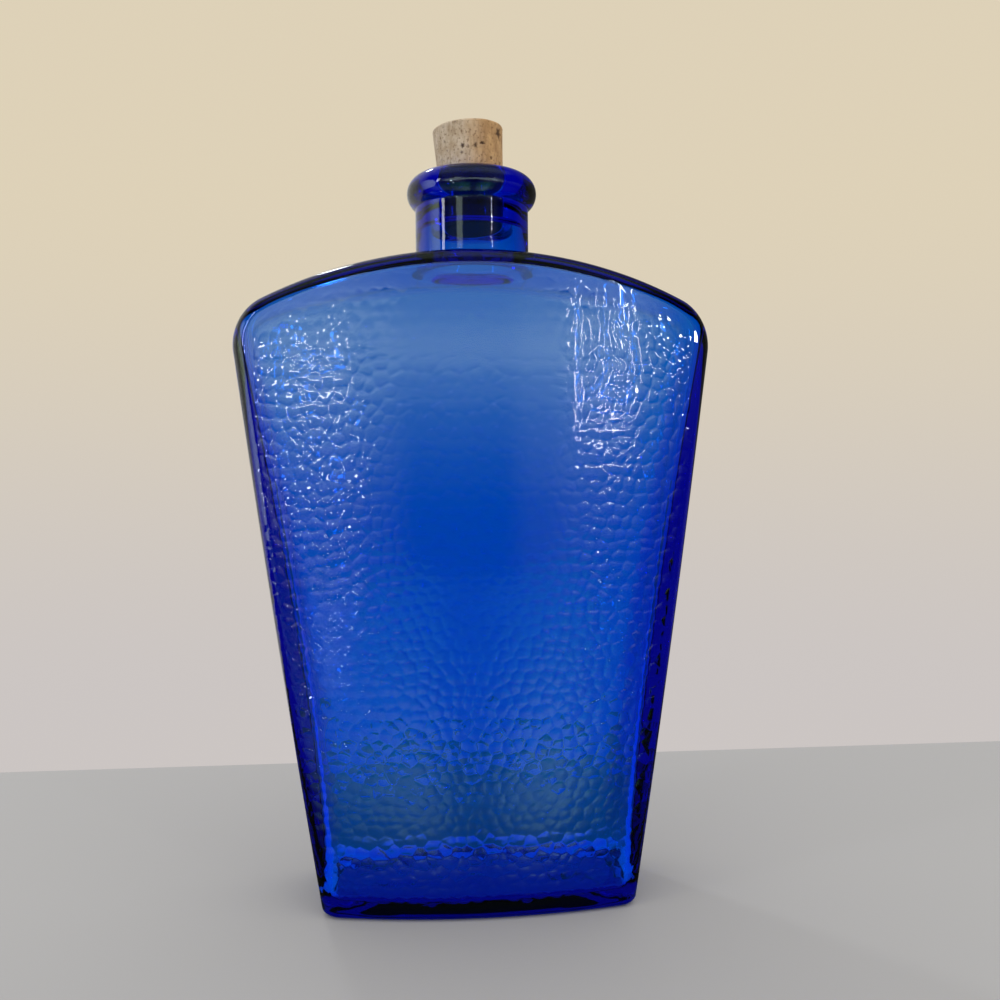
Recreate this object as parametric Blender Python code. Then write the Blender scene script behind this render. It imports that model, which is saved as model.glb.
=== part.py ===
"""A flat glass decanter with a ring lip, closed by a tapered cork that leans in its neck.

Metres, +Z up. The origin is the middle of the resting rim, and the front face looks along -Y.
"""

import math

import bpy
import numpy as np
from mathutils import Matrix

# Body seen from the front
BASE_WIDTH = 0.0988
SIDE_LEAN = math.radians(8.5)
SIDE_BULGE = 0.00055
ARCH_RADIUS = 0.172
ARCH_TOP = 0.2053
CORNER_RADIUS = 0.0155

# Body seen from the side and from above
BASE_DEPTH = 0.054
SHOULDER_DEPTH = 0.057
FACE_RADIUS = 0.210
EDGE_ROUND = 0.0045
BASE_EDGE_ROUND = 0.0025

# Underside
RESTING_RIM = 0.007
PUSH_UP = 0.0015
PUSH_UP_RUN = 0.0060

# Neck and ring lip
NECK_RADIUS = 0.0184
NECK_FILLET = 0.0016
BORE_RADIUS = 0.0106
LIP_RADIUS = 0.0211
LIP_MIDDLE = 0.2280
LIP_ROUND = 0.0057

# Glass thickness
FLOOR = 0.0040
SIDE_WALL_BASE = 0.0020
SIDE_WALL_MIDDLE = 0.0066
SIDE_WALL_SHOULDER = 0.0022
SIDE_WALL_SKEW = 0.75
FACE_WALL = 0.0046
FACE_WALL_TOP = 0.0035
NECK_WALL = 0.0042

# Hollow
CEILING = 0.0046
CEILING_FLATTER = 0.035
CAVITY_ROUNDING = 14.0
CAVITY_EDGE_ROUND = 0.0040
FLOOR_CORNER = 0.0040
ROOT_FILLET = 0.0035
BORE_LENGTH = 0.0104
NARROWING_RISE = 0.0025
THINNING_LOW = 0.105
THINNING_RUN = 0.075

# Cork
CORK_TOP = 0.2493
CORK_LENGTH = 0.032
CORK_TAPER = math.radians(3.4)
CORK_LEAN = math.radians(3.3)
CORK_CHAMFER = 0.0008
CORK_CLEARANCE = 0.0003

# Mesh steps and the angle past which an edge stays crisp
CREASE = math.radians(40)
FACE_STEPS = 7
STRIP_STEPS = 4
STRIP_ANGLE = math.radians(40)
CORK_AROUND = 32
SIDE_STEPS = 7
CORNER_STEPS = 5
ARCH_STEPS = 8
EDGE_STEPS = 3
LEDGE_STEPS = 2
LIP_STEPS = 9
MOUTH_STEPS = 3
CAVITY_STEPS = 14
NARROWING_STEPS = 3


def clear_scene():
    """Removes the objects that a new file starts with."""
    for old in list(bpy.data.objects):
        bpy.data.objects.remove(old)


def make_material(name, colour, roughness, metallic=0.0, transmission=0.0):
    """A Principled material in one plain colour."""
    material = bpy.data.materials.new(name)
    material.use_nodes = True
    shader = material.node_tree.nodes["Principled BSDF"]
    shader.inputs["Base Color"].default_value = (*colour, 1.0)
    shader.inputs["Roughness"].default_value = roughness
    shader.inputs["Metallic"].default_value = metallic
    shader.inputs["Transmission Weight"].default_value = transmission
    return material


def blend(start, end, share):
    """The value that lies the given share of the way from start to end."""
    return start + (end - start) * share


def ease(share):
    """A share from 0 to 1 that starts and stops gently."""
    share = np.clip(share, 0.0, 1.0)
    return share * share * (3.0 - 2.0 * share)


def arc(centre, radius, start, end, steps):
    """Points on an arc from one angle to another, both ends included."""
    angles = np.linspace(start, end, steps + 1)
    return [(centre[0] + radius * math.cos(a), centre[1] + radius * math.sin(a)) for a in angles]


def round_over(reach, radius):
    """How far a rounded edge has dropped at a distance in from its outline."""
    inside = radius - np.clip(reach, 0.0, radius)
    return radius - np.sqrt(radius * radius - inside * inside)


def side_half_width(height):
    """Half the width of the leaning sides at a height, without their slight bulge."""
    return BASE_WIDTH / 2 + height * math.tan(SIDE_LEAN)


def face_half_depth(height):
    """Half the depth of the body at a height, in the middle of its faces."""
    return blend(BASE_DEPTH, SHOULDER_DEPTH, height / ARCH_TOP) / 2


def arch_height(across, inside=0.0):
    """The height of the body's arch at a distance across, or of the arch a little inside it."""
    return ARCH_TOP - ARCH_RADIUS + np.sqrt((ARCH_RADIUS - inside) ** 2 - across**2)


def corner_centre():
    """The centre of the shoulder corner, which touches the leaning side and the arch inside."""
    out_x, out_z = math.cos(SIDE_LEAN), -math.sin(SIDE_LEAN)
    along_x, along_z = math.sin(SIDE_LEAN), math.cos(SIDE_LEAN)
    start_x = BASE_WIDTH / 2 - out_x * CORNER_RADIUS
    start_z = -out_z * CORNER_RADIUS
    middle_z = ARCH_TOP - ARCH_RADIUS
    reach = ARCH_RADIUS - CORNER_RADIUS
    half = start_x * along_x + (start_z - middle_z) * along_z
    rest = start_x**2 + (start_z - middle_z) ** 2 - reach**2
    distance = -half + math.sqrt(half**2 - rest)
    return start_x + along_x * distance, start_z + along_z * distance


def arch_start():
    """The angle at which the shoulder corner passes into the arch."""
    corner_x, corner_z = corner_centre()
    return math.atan2(corner_z - (ARCH_TOP - ARCH_RADIUS), corner_x)


def front_outline():
    """(half width, height) pairs up one side of the body, from the resting rim to the neck."""
    edge_middle = (side_half_width(BASE_EDGE_ROUND) - BASE_EDGE_ROUND, BASE_EDGE_ROUND)
    points = arc(edge_middle, BASE_EDGE_ROUND, math.radians(-90), -SIDE_LEAN, EDGE_STEPS)
    corner = arc(corner_centre(), CORNER_RADIUS, -SIDE_LEAN, arch_start(), CORNER_STEPS)
    low, high = points[-1], corner[0]
    for step in range(1, SIDE_STEPS):
        share = step / SIDE_STEPS
        bulge = 4.0 * SIDE_BULGE * share * (1.0 - share)
        points.append((blend(low[0], high[0], share) + bulge, blend(low[1], high[1], share)))
    points += corner
    arch_end = math.acos((NECK_RADIUS + NECK_FILLET) / ARCH_RADIUS)
    middle_z = ARCH_TOP - ARCH_RADIUS
    points += arc((0.0, middle_z), ARCH_RADIUS, arch_start(), arch_end, ARCH_STEPS)[1:]
    return points


def inside_outline(across, height, half_width):
    """How far places across a ring of the body lie inside its front outline."""
    corner_x, corner_z = corner_centre()
    side = (half_width - across) * math.cos(SIDE_LEAN)
    arch = ARCH_RADIUS - np.hypot(across, height - (ARCH_TOP - ARCH_RADIUS))
    corner = CORNER_RADIUS - np.hypot(across - corner_x, height - corner_z)
    angle = np.arctan2(height - corner_z, across - corner_x)
    at_corner = (angle > -SIDE_LEAN) & (angle < arch_start())
    return np.where(at_corner, corner, np.minimum(side, arch))


def inside_hollow(across, height, half_width):
    """How far places across a ring of the hollow lie inside its front outline."""
    side = (half_width - across) * math.cos(SIDE_LEAN)
    radius, middle_z = ceiling_arch()
    arch = radius - np.hypot(across, height - middle_z)
    return np.minimum(side, arch)


def spread(points, steps):
    """The same line with evenly spaced points, both ends included."""
    length = np.linalg.norm(np.diff(points, axis=0), axis=1)
    along = np.concatenate([[0.0], np.cumsum(length)])
    places = np.linspace(0.0, along[-1], steps + 1)
    return np.stack([np.interp(places, along, points[:, axis]) for axis in (0, 1)], axis=1)


def plan_quarter(half_width, depth, height, reach_at, edge_round):
    """A level quarter ring, from the front to a side: crowned face, round edge, flat strip."""
    across = half_width * np.sin(np.linspace(0.0, math.pi / 2, 400))
    reach = np.clip(reach_at(across, height, half_width), 0.0, edge_round)
    crown = FACE_RADIUS - np.sqrt(FACE_RADIUS**2 - across**2)
    face = np.stack([across, crown + round_over(reach, edge_round) - depth], axis=1)
    bend = min((1.0 - math.sqrt(0.5)) * edge_round, 0.6 * reach[0])
    corner = int(np.argmax(reach < bend))
    strip = np.concatenate([face[corner:], [[half_width, 0.0]]])
    plan = np.concatenate([spread(face[: corner + 1], FACE_STEPS)[:-1], spread(strip, STRIP_STEPS)])
    return np.column_stack([plan, np.full(len(plan), height)])


def circle_quarter(radius, height):
    """A quarter of a round ring, with its points placed as on a plan outline."""
    front = np.linspace(-math.pi / 2, -STRIP_ANGLE, FACE_STEPS, endpoint=False)
    angles = np.concatenate([front, np.linspace(-STRIP_ANGLE, 0.0, STRIP_STEPS + 1)])
    level = np.broadcast_to(height, angles.shape)
    return np.column_stack([radius * np.cos(angles), radius * np.sin(angles), level])


def top_quarters(level, reach, edge_round, height_at, radius, fillet, end_height):
    """Quarter rings from a level one over an arched top to a circle, then up a fillet."""
    quarters = []
    for step in range(1, LEDGE_STEPS + 1):
        kept = reach * (1.0 - step / LEDGE_STEPS) ** 2
        drop = round_over(kept, edge_round) - round_over(reach, edge_round)
        rise = height_at(level[:, 0], kept)
        quarters.append(np.column_stack([level[:, 0], level[:, 1] + drop, rise]))
    loop, circle = quarters[-1], circle_quarter(radius, 0.0)
    for step in range(1, LEDGE_STEPS + 1):
        plan = blend(loop[:, :2], circle[:, :2], step / LEDGE_STEPS)
        quarters.append(np.column_stack([plan, height_at(plan[:, 0], 0.0)]))
    foot = quarters[-1][:, 2]
    for step in range(1, EDGE_STEPS + 1):
        angle = math.radians(-90.0 - 90.0 * step / EDGE_STEPS)
        rise = blend(foot, end_height, 1.0 + math.sin(angle))
        quarters.append(circle_quarter(radius + fillet * math.cos(angle), rise))
    return quarters


def base_drop(height):
    """How far the rounded edge under the body has drawn in at a height."""
    return float(round_over(height, BASE_EDGE_ROUND))


def underside_quarters():
    """The shallow push-up and the resting rim, drawn from the middle outwards."""
    foot_x, foot_z = front_outline()[0]
    depth = face_half_depth(foot_z) - base_drop(foot_z)
    quarters = []
    for inset, height in ((RESTING_RIM + PUSH_UP_RUN, PUSH_UP), (RESTING_RIM, foot_z)):
        quarters.append(plan_quarter(foot_x - inset, depth - inset, height, beside, EDGE_ROUND))
    return quarters


def beside(across, height, half_width):
    """How far places across a ring lie inside its sides alone."""
    return half_width - across


def outer_quarters():
    """Quarter rings up the outside, from the resting rim to the foot of the neck."""
    quarters = underside_quarters()
    for half_width, height in front_outline():
        depth = face_half_depth(height) - base_drop(height)
        quarters.append(plan_quarter(half_width, depth, height, inside_outline, EDGE_ROUND))
    level = quarters[-1]
    reach = np.clip(inside_outline(level[:, 0], height, half_width), 0.0, EDGE_ROUND)
    radius = NECK_RADIUS + NECK_FILLET
    end_height = ARCH_TOP + NECK_FILLET
    top = top_quarters(level, reach, EDGE_ROUND, arch_height, radius, NECK_FILLET, end_height)
    return quarters + top


def mouth_height():
    """The height at which the lip's inner round ends and the straight bore begins."""
    mouth_round = LIP_RADIUS - LIP_ROUND - BORE_RADIUS
    return LIP_MIDDLE + LIP_ROUND - mouth_round


def lip_profile():
    """(radius, height) pairs round the lip, from the neck to the start of the bore."""
    lip_middle = (LIP_RADIUS - LIP_ROUND, LIP_MIDDLE)
    lip_start = -math.acos((NECK_RADIUS - lip_middle[0]) / LIP_ROUND)
    points = arc(lip_middle, LIP_ROUND, lip_start, math.radians(90), LIP_STEPS)
    mouth_middle = (lip_middle[0], mouth_height())
    mouth_round = lip_middle[0] - BORE_RADIUS
    points += arc(mouth_middle, mouth_round, math.radians(90), math.radians(180), MOUTH_STEPS)[1:]
    return points


def side_wall(height):
    """Thickness of the narrow side walls, thickest below half the height of the hollow."""
    share = (height - FLOOR) / (ARCH_TOP - FLOOR)
    skewed = share**SIDE_WALL_SKEW
    ends = blend(SIDE_WALL_BASE, SIDE_WALL_SHOULDER, share)
    return blend(ends, SIDE_WALL_MIDDLE, 4.0 * skewed * (1.0 - skewed))


def ceiling_arch():
    """The radius of the hollow's arch and the height of its centre."""
    radius = ARCH_RADIUS + CEILING_FLATTER
    return radius, ARCH_TOP - CEILING - radius


def ceiling_height(across, inside=0.0):
    """The height of the hollow's arch at a distance across, or of one a little inside it."""
    radius, middle_z = ceiling_arch()
    return middle_z + np.sqrt((radius - inside) ** 2 - across**2)


def hollow_half_width(height):
    """Half the width of the hollow: the lower of its side and its arch, with a round between."""
    side = side_half_width(height) - side_wall(height)
    radius, middle_z = ceiling_arch()
    arch = math.sqrt(radius**2 - (height - middle_z) ** 2)
    return (side**-CAVITY_ROUNDING + arch**-CAVITY_ROUNDING) ** (-1.0 / CAVITY_ROUNDING)


def face_wall(height):
    """Thickness of the broad front and back walls, thinner towards the shoulders."""
    return blend(FACE_WALL, FACE_WALL_TOP, ease((height - THINNING_LOW) / THINNING_RUN))


def neck_root():
    """The radius at which the hollow's ceiling turns up into the neck."""
    return NECK_RADIUS - NECK_WALL + ROOT_FILLET


def neck_hollow_quarters():
    """Quarter rings up the wide part of the neck and its narrowing to the bore."""
    quarters = []
    high = mouth_height() - BORE_LENGTH
    for step in range(NARROWING_STEPS + 1):
        share = step / NARROWING_STEPS
        radius = blend(NECK_RADIUS - NECK_WALL, BORE_RADIUS, float(ease(share)))
        quarters.append(circle_quarter(radius, high - NARROWING_RISE * (1.0 - share)))
    return quarters


def hollow_heights():
    """Heights of the hollow's rings, from the floor up, closer together under the arch."""
    floor_arc = arc((0.0, FLOOR + FLOOR_CORNER), FLOOR_CORNER, math.radians(-90), 0.0, EDGE_STEPS)
    heights = [point[1] for point in floor_arc]
    top = float(ceiling_height(neck_root()))
    for step in range(1, CAVITY_STEPS + 1):
        share = math.sin(math.pi / 2 * step / CAVITY_STEPS)
        heights.append(blend(FLOOR + FLOOR_CORNER, top, share))
    return heights


def hollow_quarters():
    """Quarter rings up the hollow, from the domed floor to the start of the bore."""
    quarters = []
    for height in hollow_heights():
        drop = float(round_over(height - FLOOR, FLOOR_CORNER))
        half_width = hollow_half_width(height) - drop
        depth = face_half_depth(height) - float(face_wall(height)) - drop
        if not quarters:
            inset = RESTING_RIM + PUSH_UP_RUN - FLOOR_CORNER
            inner = (half_width - inset, depth - inset, height + PUSH_UP)
            quarters.append(plan_quarter(*inner, beside, CAVITY_EDGE_ROUND))
        quarters.append(plan_quarter(half_width, depth, height, inside_hollow, CAVITY_EDGE_ROUND))
    level = quarters[-1]
    reach = np.clip(inside_hollow(level[:, 0], height, half_width), 0.0, CAVITY_EDGE_ROUND)
    root = (neck_root(), ROOT_FILLET, ARCH_TOP - CEILING + ROOT_FILLET)
    top = top_quarters(level, reach, CAVITY_EDGE_ROUND, ceiling_height, *root)
    return quarters + top + neck_hollow_quarters()


def whole_ring(quarter):
    """A closed ring from its quarter between the front and the +X side."""
    open_part, end, back = quarter[:-1], quarter[-1:], quarter[-2:0:-1]
    half = [open_part, end, back * (1.0, -1.0, 1.0)]
    return np.concatenate(half + [part * (-1.0, -1.0, 1.0) for part in half])


def bottle_rings():
    """All rings of the glass: up the outside, round the lip and down the inside."""
    quarters = outer_quarters()
    quarters += [circle_quarter(radius, height) for radius, height in lip_profile()]
    quarters += reversed(hollow_quarters())
    return [whole_ring(quarter) for quarter in quarters]


def make_object(name, vertices, faces, material):
    """An object with smooth shading that keeps its edges crisp."""
    mesh = bpy.data.meshes.new(name)
    mesh.from_pydata(vertices, [], faces)
    mesh.materials.append(material)
    mesh.shade_smooth()
    mesh.set_sharp_from_angle(angle=CREASE)
    made = bpy.data.objects.new(name, mesh)
    bpy.context.scene.collection.objects.link(made)
    return made


def loft(rings):
    """Vertices and faces of a closed skin through rings, with a fan over each end."""
    count = len(rings[0])
    vertices = [tuple(float(v) for v in point) for ring in rings for point in ring]
    faces = []
    for level in range(len(rings) - 1):
        low, high = level * count, (level + 1) * count
        for step in range(count):
            after = (step + 1) % count
            faces.append((low + step, low + after, high + after, high + step))
    for ring, flip in ((rings[0], True), (rings[-1], False)):
        middle = len(vertices)
        vertices.append((0.0, 0.0, float(ring[0][2])))
        first = 0 if flip else (len(rings) - 1) * count
        for step in range(count):
            edge = (first + step, first + (step + 1) % count)
            faces.append((middle, *reversed(edge)) if flip else (middle, *edge))
    return vertices, faces


def make_bottle():
    """The blown glass: underside, body, neck, lip, bore and hollow as one closed skin."""
    glass = make_material("cobalt_glass", (0.01, 0.06, 0.45), 0.03, transmission=1.0)
    vertices, faces = loft(bottle_rings())
    return make_object("glass_bottle", vertices, faces, glass)


def round_ring(radius, height):
    """A level ring with evenly spread points."""
    angles = np.linspace(0.0, 2 * math.pi, CORK_AROUND, endpoint=False)
    level = np.full(CORK_AROUND, height)
    return np.column_stack([radius * np.cos(angles), radius * np.sin(angles), level])


def make_cork():
    """The tapered cork, leaning towards -X, with its object origin on the neck's axis."""
    bark = make_material("natural_cork", (0.62, 0.44, 0.26), 0.85)
    mouth = mouth_height()
    fit_radius = BORE_RADIUS - CORK_CLEARANCE
    slope = math.tan(CORK_TAPER)
    above = (CORK_TOP - mouth) / math.cos(CORK_LEAN)
    below = CORK_LENGTH - above
    top_radius = fit_radius + above * slope
    foot_radius = fit_radius - below * slope
    profile = [
        (foot_radius - CORK_CHAMFER, -below),
        (foot_radius, -below + CORK_CHAMFER),
        (fit_radius, 0.0),
        (top_radius, above - CORK_CHAMFER),
        (top_radius - CORK_CHAMFER, above),
    ]
    rings = [round_ring(radius, height) for radius, height in profile]
    vertices, faces = loft(rings)
    cork = make_object("cork_stopper", vertices, faces, bark)
    cork.data.transform(Matrix.Rotation(-CORK_LEAN, 4, "Y"))
    cork.location = (0.0, 0.0, mouth)
    return cork


def main():
    """Builds the decanter."""
    clear_scene()
    make_bottle()
    make_cork()


main()
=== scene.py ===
"""The looks of a flat cobalt-blue glass decanter with pebbled faces and a natural cork."""

import math

import bpy
import numpy as np
from mathutils import Matrix, Vector


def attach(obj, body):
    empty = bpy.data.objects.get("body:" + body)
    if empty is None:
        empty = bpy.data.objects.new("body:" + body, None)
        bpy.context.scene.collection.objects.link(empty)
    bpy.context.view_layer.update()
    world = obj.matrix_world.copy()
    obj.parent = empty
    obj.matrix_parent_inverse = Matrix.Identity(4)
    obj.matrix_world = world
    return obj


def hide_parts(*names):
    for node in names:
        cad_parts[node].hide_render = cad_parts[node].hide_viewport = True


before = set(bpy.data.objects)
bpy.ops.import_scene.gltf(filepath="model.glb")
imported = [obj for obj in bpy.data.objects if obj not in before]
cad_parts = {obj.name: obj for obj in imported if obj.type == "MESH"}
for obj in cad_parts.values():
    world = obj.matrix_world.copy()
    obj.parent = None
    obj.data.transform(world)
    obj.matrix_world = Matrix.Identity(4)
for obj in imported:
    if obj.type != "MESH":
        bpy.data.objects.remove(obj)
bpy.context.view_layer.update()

# Body seen from the front
BASE_WIDTH = 0.0988
SIDE_LEAN = math.radians(8.5)
SIDE_BULGE = 0.00055
ARCH_RADIUS = 0.172
ARCH_TOP = 0.2053
CORNER_RADIUS = 0.0155

# Body seen from the side and from above
BASE_DEPTH = 0.054
SHOULDER_DEPTH = 0.057
FACE_RADIUS = 0.210
EDGE_ROUND = 0.0045
BASE_EDGE_ROUND = 0.0025

# Underside
RESTING_RIM = 0.007
PUSH_UP = 0.0015
PUSH_UP_RUN = 0.0060

# Neck and ring lip
NECK_RADIUS = 0.0184
NECK_FILLET = 0.0016
BORE_RADIUS = 0.0106
LIP_RADIUS = 0.0211
LIP_MIDDLE = 0.2280
LIP_ROUND = 0.0057

# Glass thickness
FLOOR = 0.0040
SIDE_WALL_BASE = 0.0020
SIDE_WALL_MIDDLE = 0.0066
SIDE_WALL_SHOULDER = 0.0022
SIDE_WALL_SKEW = 0.75
FACE_WALL = 0.0046
FACE_WALL_TOP = 0.0035
NECK_WALL = 0.0042

# Hollow
CEILING = 0.0034
CEILING_FLATTER = 0.006
CEILING_SHARPER = 2.4
CAVITY_ROUNDING = 14.0
CAVITY_EDGE_ROUND = 0.0040
FLOOR_CORNER = 0.0040
ROOT_FILLET = 0.0035
BORE_LENGTH = 0.0104
NARROWING_RISE = 0.0025
THINNING_LOW = 0.105
THINNING_RUN = 0.075

# Cork
CORK_TOP = 0.2493
CORK_LENGTH = 0.032
CORK_TAPER = math.radians(3.4)
CORK_LEAN = math.radians(3.3)
CORK_CHAMFER = 0.0008
CORK_CLEARANCE = 0.0003

# Pebbled faces, as (cell width, cell height, edge rise, edge run, swell low, swell high)
FRONT_PEBBLES = (0.0040, 0.0030, 0.000055, 0.0008, 0.000110, 0.000028)
BACK_PEBBLES = (0.0044, 0.0032, 0.0, 0.0010, 0.000520, 0.000200)
FRONT_SEED = 7
BACK_SEED = 11
FIELD_WIDTH = 0.19
FIELD_HEIGHT = 0.23
SPARE_CELLS = 6
ROWS_BELOW = 2
PEBBLE_JITTER = 0.36
PEBBLE_SIZES = (0.75, 1.15)
FAR_OFF = 9.0
PEBBLE_SWELL = 0.38
PEBBLE_LEAN = 0.2
PEBBLE_SQUASH = 0.95
PEBBLE_GROWTH = 2.2
PEBBLE_STEEPER_LOW = 1.7

# Heights over which the pebbles change, as (start, run)
SWELL_CHANGE = (0.04, 0.12)
STEEPER_CHANGE = (0.06, 0.08)
FOOT_FADE = (0.004, 0.004)
BACK_FOOT_FADE = (0.004, 0.020)

# How the pebbles fade in from the face's outline, as (start, run) in shares of its round edge
TOP_FADE = (0.8, 2.4)
SIDE_FADE = (0.04, 0.4)
ARCH_MARGIN = 0.0002
FACE_SHARE = 0.6

# The calmer middle of the front face, as an oval
CALM_HEIGHT = 0.152
CALM_HALF_WIDTH = 0.042
CALM_HALF_HEIGHT = 0.085
CALM_SHARE = 0.12
CALM_EDGE = (0.5, 0.5)

# Mesh steps, far finer than in the model
PLAN_SAMPLES = 400
FACE_STEPS = 200
STRIP_STEPS = 20
STRIP_ANGLE = math.radians(35)
SIDE_STEPS = 450
CORNER_STEPS = 22
ARCH_STEPS = 80
EDGE_STEPS = 8
LEDGE_STEPS = 8
NARROWING_STEPS = 14
LIP_STEPS = 36
MOUTH_STEPS = 12
CAVITY_STEPS = 100
LEVEL_SHARES = (0.02, 0.1, 0.3, 0.5, 0.7, 0.9, 0.98)
BEND_SHARE = 0.6

# Pits of the cork, as (azimuth, height, half width, half height, depth), in degrees and
# millimetres, the depth from 0 to 1
CORK_PITS = (
    (-14.0, 12.1, 0.55, 0.75, 0.9),
    (-16.0, 10.0, 0.45, 0.45, 0.6),
    (8.0, 12.0, 0.45, 0.80, 0.8),
    (20.0, 12.8, 0.80, 0.45, 0.9),
    (37.0, 8.4, 0.40, 0.55, 0.7),
    (47.0, 6.8, 0.35, 0.40, 0.6),
    (62.0, 7.4, 0.45, 0.60, 0.7),
    (58.0, 17.0, 1.10, 1.50, 0.8),
    (-40.0, 7.2, 0.30, 0.50, 0.5),
    (-48.0, 14.5, 0.30, 0.60, 0.5),
    (120.0, 11.0, 0.60, 0.90, 0.9),
    (165.0, 8.0, 0.50, 0.90, 0.8),
    (-150.0, 13.0, 0.60, 0.60, 0.8),
    (-110.0, 9.0, 0.50, 0.80, 0.8),
    (-175.0, 16.0, 0.90, 0.60, 0.8),
)
PIT_DEPTH = 0.00045
PIT_WALL_REACH = 1.25
PIT_WALL_RUN = 0.7
PIT_RAGGED = 0.25
PIT_LOBES = 5.0
PIT_LOBE_TURN = 9.0

# Small pits, with their least width and what is added to it, and how stretched and deep they are
PIT_SEED = 5
SMALL_PITS = 170
SMALL_PIT_WIDTH = 0.00012
SMALL_PIT_WIDER = 0.00022
SMALL_PIT_STRETCH = (0.8, 2.6)
SMALL_PIT_DEPTH = (0.25, 0.6)

# Unevenness of the cork, as (waves around it, start, climb) of each wave
ROUGH_WAVES = ((7.0, 2.0, 0.0), (11.0, 0.0, 300.0))
ROUGH_DEPTH = 0.00003
CORK_SHARP = math.radians(60)

# Mesh steps of the cork, and its rings across the flat ends as shares of their radius
CORK_AROUND = 300
CORK_ROWS = 210
END_SHARES = (0.2, 0.4, 0.6, 0.75, 0.85)

# Colours of the cork, those of its noise as (scale, detail, (position, colour) stops)
CORK_PALE = (260.0, 6.0, ((0.34, (0.50, 0.37, 0.24)), (0.58, (0.66, 0.54, 0.40))))
CORK_TAN = (230.0, 6.0, ((0.34, (0.46, 0.25, 0.10)), (0.60, (0.68, 0.41, 0.18))))
CORK_GRAIN = (900.0, 6.0, ((0.36, (0.66, 0.60, 0.54)), (0.52, (1.0, 1.0, 1.0))))
CORK_SPECKS = (1500.0, 2.0, ((0.33, (0.30, 0.20, 0.12)), (0.40, (1.0, 1.0, 1.0))))
GRAIN_STRETCH = 0.22
GRAIN_SHARE = 0.55
SPECKS_SHARE = 0.65
TAN_SIDE = 0.006
CORK_ROUGHNESS = 0.85
CORK_BUMP = (1400.0, 3.0, 0.35, 0.0003)
# Painted shade in the pits: the deeper a place lies in a pit, the nearer it comes to this colour
PIT_SHADE_COLOUR = (0.045, 0.018, 0.008)
# Painted shade on the cork's foot inside the lip and neck, where little light reaches it
NECK_SHADE_COLOUR = (0.075, 0.040, 0.022)

# Where the cork's pits stop short of its ends, as (start, run) in shares of the bore's radius
OFF_ENDS = (0.85, 0.1)

# Where the painted shade on the cork's foot inside the lip and neck begins and is full, above the
# straight bore
NECK_SHADE_BEGINS = 0.0046
NECK_SHADE_FULL = 0.0014

# Glass, by its index and by the colour and density of what it takes up
GLASS_INDEX = 1.51
GLASS_COLOUR = (0.02, 0.734, 0.975)
GLASS_DENSITY = 1000.0

WHITE = (1.0, 1.0, 1.0)

# Wall behind, from low to high, and how brightly the room lights everything but glass
WALL_LOW = (0.60, 0.56, 0.545)
WALL_HIGH = (0.73, 0.64, 0.48)
WALL_RISE = ((-0.22, 0.0), (0.28, 1.0))
ROOM_LIGHT = ((-0.2, 0.25), (0.1, 0.6), (0.4, 1.0))

# Room in front, seen in gloss: its strength by height, what its sides add by height and
# across, how far it reaches across, and patches as (across, half width, up, half height, strength)
ROOM_BASE = (
    (-0.30, 0.02), (-0.05, 0.0), (-0.01, 0.08), (0.035, 0.32), (0.07, 0.85), (0.11, 2.0), (0.155, 1.2),
    (0.19, 0.9), (0.225, 0.08), (0.6, 0.1), (0.9, 0.4),
)
SIDES_UP = (
    (-0.30, 0.3), (-0.23, 0.35), (-0.17, 0.75), (-0.05, 1.0), (-0.01, 2.0), (0.11, 2.4), (0.19, 1.5),
    (0.225, 0.1),
)
SIDES_ACROSS = (
    (-0.80, 0.04), (-0.62, 0.40), (-0.47, 0.42), (-0.33, 0.22), (-0.17, 0.02), (0.14, 0.01),
    (0.29, 0.18), (0.44, 0.36), (0.57, 0.28), (0.69, 0.10), (0.80, 0.03),
)
BASE_ACROSS = ((-0.85, 0.05), (-0.70, 1.0), (0.62, 1.0), (0.80, 0.04))
ROOM_PATCHES = (
    (-0.97, 0.05, 0.20, 0.9, 1.8),
    (-0.45, 0.09, 0.25, 0.06, 1.6),
)
PATCH_CORE = 0.5
PATCH_RIM = 1.5
PATCH_POWER = 2.2
ROOM_IN_FRONT = ((-0.2, 1.0), (0.3, 0.0))
VEIL_COLOUR = (0.80, 1.0, 0.74)
VEIL_STRENGTH = 1.2

# Room behind, seen in gloss, by how far back and how far across a direction points
REAR_BACK = ((-0.1, 0.0), (0.5, 0.65))
REAR_ACROSS = ((-0.3, 1.0), (0.5, 0.12))

# Table top, and its colours as plainly seen, in gloss and through glass, near and away; the colours
# through glass are painted light, lighter near the decanter than further back
TABLE_HALF_WIDTH = 0.9
TABLE_FRONT = -0.9
TABLE_BACK = 0.150
TABLE_LEVEL = -0.0002
TABLE_COLOUR = (0.45, 0.44, 0.43)
TABLE_IN_GLOSS = (0.03, 0.03, 0.03)
TABLE_THROUGH_NEAR = (0.9, 0.9, 0.9)
TABLE_THROUGH_AWAY = (0.55, 0.50, 0.23)
TABLE_THROUGH_CHANGE = ((0.028, 0.0), (0.046, 1.0))
TABLE_ROUGHNESS = 0.6

# Painted light that gloss shows on the table in front, as a glow: its strength by distance, by the
# tangent of the angle at which a place lies from the decanter, darker in the middle as a painted shadow
# of the decanter, and its colour far away and near
TABLE_AWAY = (
    (-0.90, 0.45), (-0.57, 0.50), (-0.41, 0.58), (-0.30, 0.75), (-0.22, 1.0), (-0.16, 1.0), (-0.115, 0.8),
    (-0.080, 0.2), (-0.045, 0.0),
)
TABLE_AHEAD = -0.01
TABLE_AROUND = (
    (-1.1, 0.3), (-0.75, 0.5), (-0.53, 0.7), (-0.34, 1.0), (-0.18, 0.8), (-0.05, 0.2), (0.05, 0.16),
    (0.18, 0.6), (0.31, 1.0), (0.49, 1.3), (0.66, 0.4), (0.95, 0.02),
)
TABLE_FAR_COLOUR = (0.14, 1.0, 0.40)
TABLE_NEAR_COLOUR = (0.50, 1.0, 0.70)
TABLE_NEAR_CHANGE = ((-0.35, 0.0), (-0.20, 1.0))

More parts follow.
